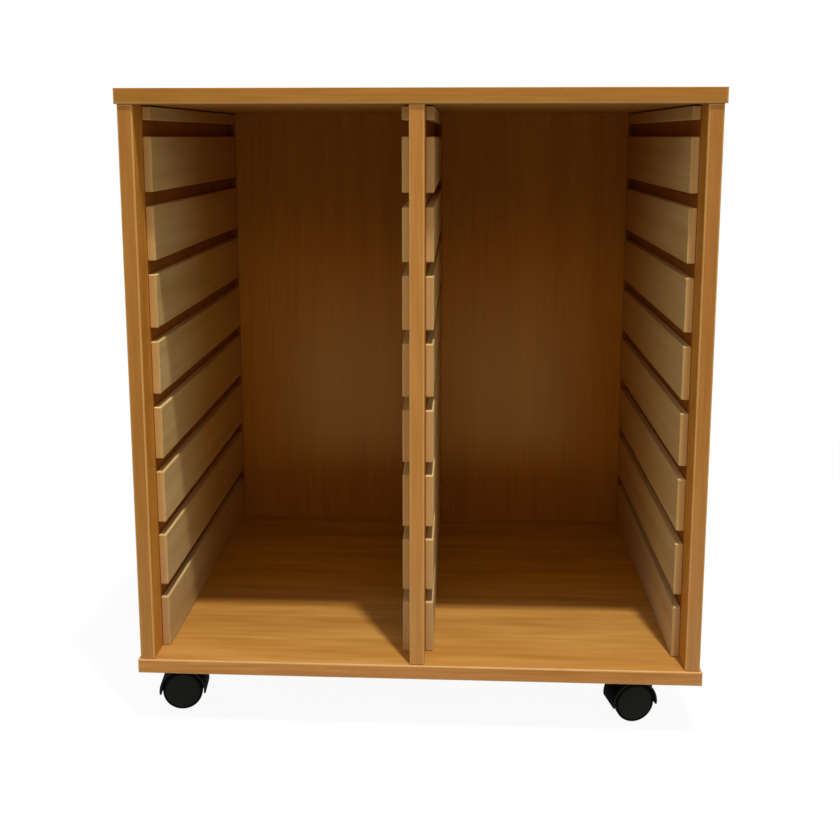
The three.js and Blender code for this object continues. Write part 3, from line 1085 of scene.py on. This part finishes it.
class TRAYUNIT_OT_stage(bpy.types.Operator):
    """Set the pale floor, the studio light and the camera"""

    bl_idname = "trayunit.stage"
    bl_label = "Stage"

    def execute(self, context):
        settings = context.scene.tray_unit.stage
        self.floor(settings)
        self.sky(context, settings)
        self.key(settings)
        self.camera(context, settings)
        context.scene.view_settings.view_transform = "Standard"
        return {"FINISHED"}

    def floor(self, settings):
        """Plain pale floor that keeps the unit's shadow."""
        mesh = bpy.data.meshes.new("studio_floor")
        reach = 12.0
        corners = [(-reach, -reach, 0), (reach, -reach, 0), (reach, reach, 0), (-reach, reach, 0)]
        mesh.from_pydata(corners, [], [(0, 1, 2, 3)])
        material, tree, where = new_material("studio_floor_paint")
        paint = put(tree, "ShaderNodeBsdfDiffuse", {"Color": (*settings.floor, 1)})
        pale = put(tree, "ShaderNodeBsdfDiffuse", {"Color": (*linear("#F3F3F3"), 1)})
        white = put(tree, "ShaderNodeEmission", {"Color": (1, 1, 1, 1), "Strength": 1.0})
        # The floor shows a faint shadow near the unit and fades to plain white 1.4 m away
        away = put(tree, "ShaderNodeVectorMath", {0: where}, operation="LENGTH").outputs["Value"]
        sweep = put(
            tree, "ShaderNodeMapRange",
            {"Value": away, "From Min": 0.5, "From Max": 1.4, "To Min": 0.94, "To Max": 1.0},
            interpolation_type="SMOOTHSTEP",
        )
        seen = put(
            tree, "ShaderNodeMixShader", {"Fac": sweep.outputs[0], 1: pale.outputs[0], 2: white.outputs[0]}
        )
        rays = picture_rays(tree)
        mixed = put(tree, "ShaderNodeMixShader", {"Fac": rays, 1: paint.outputs[0], 2: seen.outputs[0]})
        put(tree, "ShaderNodeOutputMaterial", {"Surface": mixed.outputs[0]})
        mesh.materials.append(material)
        add_object("studio_floor", mesh)

    def sky(self, context, settings):
        """Soft studio light that changes with height, behind a plain white background."""
        world = bpy.data.worlds.new("studio_sky")
        context.scene.world = world
        world.use_nodes = True
        tree = world.node_tree
        tree.nodes.clear()
        way = put(tree, "ShaderNodeTexCoord").outputs["Generated"]
        height = put(tree, "ShaderNodeSeparateXYZ", {"Vector": way}).outputs["Z"]
        ramp = put(tree, "ShaderNodeValToRGB", {"Fac": height})
        stops = ramp.color_ramp.elements
        stops[0].position, stops[1].position = 0.0, 1.0
        for place in (0.2, 0.4, 0.6, 0.8):
            stops.new(place)
        for stop, level in zip(stops, settings.sky):
            stop.color = (level, level, level, 1)
        studio = put(tree, "ShaderNodeBackground", {"Color": ramp.outputs[0], "Strength": 1.0})
        white = put(tree, "ShaderNodeBackground", {"Color": (1, 1, 1, 1), "Strength": 1.0})
        rays = picture_rays(tree)
        mixed = put(tree, "ShaderNodeMixShader", {"Fac": rays, 1: studio.outputs[0], 2: white.outputs[0]})
        put(tree, "ShaderNodeOutputWorld", {"Surface": mixed.outputs[0]})

    def key(self, settings):
        """Overhead lamp, aimed at the middle of the unit."""
        lamp = bpy.data.lights.new("overhead_key", "AREA")
        lamp.shape = "DISK"
        lamp.size = 0.15
        lamp.energy = settings.key_power
        obj = add_object("overhead_key", lamp)
        obj.location = settings.key
        aim = Vector((0, 0, 0.4)) - obj.location
        obj.rotation_euler = aim.to_track_quat("-Z", "Y").to_euler()

    def camera(self, context, settings):
        """Camera at the photograph's viewing angle."""
        data = bpy.data.cameras.new("front_camera")
        data.lens = settings.lens
        data.sensor_width = 36.0
        data.shift_x, data.shift_y = settings.shift
        data.clip_start = 0.01
        obj = add_object("front_camera", data)
        obj.location = settings.camera
        obj.rotation_euler = (math.pi / 2 - settings.tilt, 0.0, settings.turn)
        context.scene.camera = obj


class TRAYUNIT_PT_panel(bpy.types.Panel):
    """Lists the steps that dress the tray unit"""

    bl_idname = "TRAYUNIT_PT_panel"
    bl_label = "Tray unit"
    bl_space_type = "VIEW_3D"
    bl_region_type = "UI"
    bl_category = "Tray unit"

    def draw(self, context):
        for step in STEPS:
            self.layout.operator(step.bl_idname)
        settings = context.scene.tray_unit
        for group in (settings.boards, settings.runners, settings.castors, settings.stage):
            box = self.layout.box()
            for name in group.__annotations__:
                box.prop(group, name)


STEPS = (
    TRAYUNIT_OT_boards, TRAYUNIT_OT_runners, TRAYUNIT_OT_castors, TRAYUNIT_OT_screws, TRAYUNIT_OT_stage,
)
GROUPS = (TrayUnitBoards, TrayUnitRunners, TrayUnitCastors, TrayUnitStage, TrayUnitSettings)
CLASSES = (*GROUPS, *STEPS, TRAYUNIT_PT_panel)


def register():
    for cls in CLASSES:
        bpy.utils.register_class(cls)
    bpy.types.Scene.tray_unit = bpy.props.PointerProperty(
        type=TrayUnitSettings, name="Tray unit", description="Settings of the tray unit"
    )


def unregister():
    del bpy.types.Scene.tray_unit
    for cls in reversed(CLASSES):
        bpy.utils.unregister_class(cls)


def main():
    register()
    bpy.ops.trayunit.boards()
    bpy.ops.trayunit.runners()
    bpy.ops.trayunit.castors()
    bpy.ops.trayunit.screws()
    bpy.ops.trayunit.stage()


if __name__ == "__main__":
    main()
